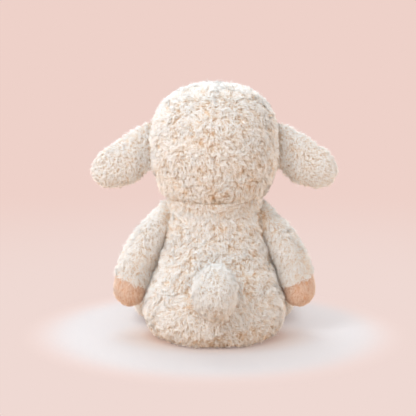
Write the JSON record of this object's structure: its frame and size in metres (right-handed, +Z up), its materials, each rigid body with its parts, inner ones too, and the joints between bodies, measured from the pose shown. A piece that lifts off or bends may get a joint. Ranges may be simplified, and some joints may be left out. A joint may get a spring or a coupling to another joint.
{
  "type": "plush sheep",
  "caption": "Sitting stuffed sheep with a woolly fleece, drooping ears, a round tail and soft arms and legs that end in velour hooves.",
  "frame": {"origin": "middle of the flat seat, on the surface that the toy sits on", "axes": "+Z up through the head, -Y the way the face looks, +X the toy's own left"},
  "size_m": [0.2448, 0.2224, 0.257],
  "materials": {
    "fleece": "cream curly polyester fleece",
    "velour": "peach short-pile velour",
    "stuffing": "white polyester fibre",
    "pouch": "plain woven cotton round plastic pellets",
    "thread": "spun polyester sewing thread",
    "nose_thread": "brown satin-stitched embroidery thread",
    "eye": "polished black safety eye",
    "washer": "white moulded locking washer"
  },
  "bodies": {
    "torso": {"seat_panel": "fleece", "belly_panel": "fleece", "back_panel_left": "fleece", "back_panel_right": "fleece", "body_stuffing": "stuffing", "pellet_pouch": "pouch", "neck_stitches": "thread", "closing_stitches": "thread"},
    "neck": {"neck_stuffing": "stuffing"},
    "head": {"crown_panel": "fleece", "head_back_left": "fleece", "head_back_right": "fleece", "face_panel": "velour", "head_stuffing": "stuffing", "muzzle": "velour", "nose": "nose_thread", "mouth_stitches": "nose_thread", "eye_left": "eye", "eye_right": "eye", "eye_washer_left": "washer", "eye_washer_right": "washer"},
    "ear_left": {"ear_back_left": "fleece", "ear_lining_left": "velour", "ear_wadding_left": "stuffing"},
    "ear_right": {"ear_back_right": "fleece", "ear_lining_right": "velour", "ear_wadding_right": "stuffing"},
    "shoulder_left": {"shoulder_gather_left": "fleece"},
    "shoulder_right": {"shoulder_gather_right": "fleece"},
    "arm_left": {"arm_sleeve_left": "fleece", "arm_hoof_left": "velour", "arm_stuffing_left": "stuffing"},
    "arm_right": {"arm_sleeve_right": "fleece", "arm_hoof_right": "velour", "arm_stuffing_right": "stuffing"},
    "hip_left": {"hip_gather_left": "fleece"},
    "hip_right": {"hip_gather_right": "fleece"},
    "leg_left": {"leg_sleeve_left": "fleece", "leg_hoof_left": "velour", "leg_stuffing_left": "stuffing"},
    "leg_right": {"leg_sleeve_right": "fleece", "leg_hoof_right": "velour", "leg_stuffing_right": "stuffing"},
    "tail": {"tail_cover": "fleece", "tail_stuffing": "stuffing"}
  },
  "joints": [
    {"name": "neck_turn", "type": "hinge", "parent": "torso", "child": "neck", "pos_m": [0, 0, 0.14], "axis": [0, 0, 1], "range_deg": [-40, 40], "stiffness_Nm_per_rad": 0.3},
    {"name": "neck_nod", "type": "hinge", "parent": "neck", "child": "head", "pos_m": [0, 0, 0.14], "axis": [1, 0, 0], "range_deg": [-14, 14], "stiffness_Nm_per_rad": 1},
    {"name": "ear_left_fold", "type": "hinge", "parent": "head", "child": "ear_left", "pos_m": [0.06575, 0, 0.196], "axis": [0, 0, -1], "range_deg": [-40, 60], "stiffness_Nm_per_rad": 0.05},
    {"name": "ear_right_fold", "type": "hinge", "parent": "head", "child": "ear_right", "pos_m": [-0.06575, 0, 0.196], "axis": [0, 0, 1], "range_deg": [-40, 60], "stiffness_Nm_per_rad": 0.05},
    {"name": "arm_left_swing", "type": "hinge", "parent": "torso", "child": "shoulder_left", "pos_m": [0.04667, 0, 0.12654], "axis": [-1, 0, 0], "range_deg": [-25, 75], "stiffness_Nm_per_rad": 0.02},
    {"name": "arm_right_swing", "type": "hinge", "parent": "torso", "child": "shoulder_right", "pos_m": [-0.04667, 0, 0.12654], "axis": [-1, 0, 0], "range_deg": [-25, 75], "stiffness_Nm_per_rad": 0.02},
    {"name": "arm_left_lift", "type": "hinge", "parent": "shoulder_left", "child": "arm_left", "pos_m": [0.04667, 0, 0.12654], "axis": [0, -1, 0], "range_deg": [0, 60], "stiffness_Nm_per_rad": 0.02},
    {"name": "arm_right_lift", "type": "hinge", "parent": "shoulder_right", "child": "arm_right", "pos_m": [-0.04667, 0, 0.12654], "axis": [0, 1, 0], "range_deg": [0, 60], "stiffness_Nm_per_rad": 0.02},
    {"name": "leg_left_splay", "type": "hinge", "parent": "torso", "child": "hip_left", "pos_m": [0.06248, -0.0392, 0.0188], "axis": [0, 0, 1], "range_deg": [0, 25], "stiffness_Nm_per_rad": 0.05},
    {"name": "leg_right_splay", "type": "hinge", "parent": "torso", "child": "hip_right", "pos_m": [-0.06248, -0.0392, 0.0188], "axis": [0, 0, -1], "range_deg": [0, 25], "stiffness_Nm_per_rad": 0.05},
    {"name": "leg_left_raise", "type": "hinge", "parent": "hip_left", "child": "leg_left", "pos_m": [0.06248, -0.0392, 0.0188], "axis": [-0.7801, 0.6257, 0], "range_deg": [0, 50], "stiffness_Nm_per_rad": 0.03},
    {"name": "leg_right_raise", "type": "hinge", "parent": "hip_right", "child": "leg_right", "pos_m": [-0.06248, -0.0392, 0.0188], "axis": [-0.7801, -0.6257, 0], "range_deg": [0, 50], "stiffness_Nm_per_rad": 0.03},
    {"name": "tail_flap", "type": "hinge", "parent": "torso", "child": "tail", "pos_m": [0, 0.06542, 0.062], "axis": [1, 0, 0], "range_deg": [-15, 30], "stiffness_Nm_per_rad": 0.1}
  ]
}
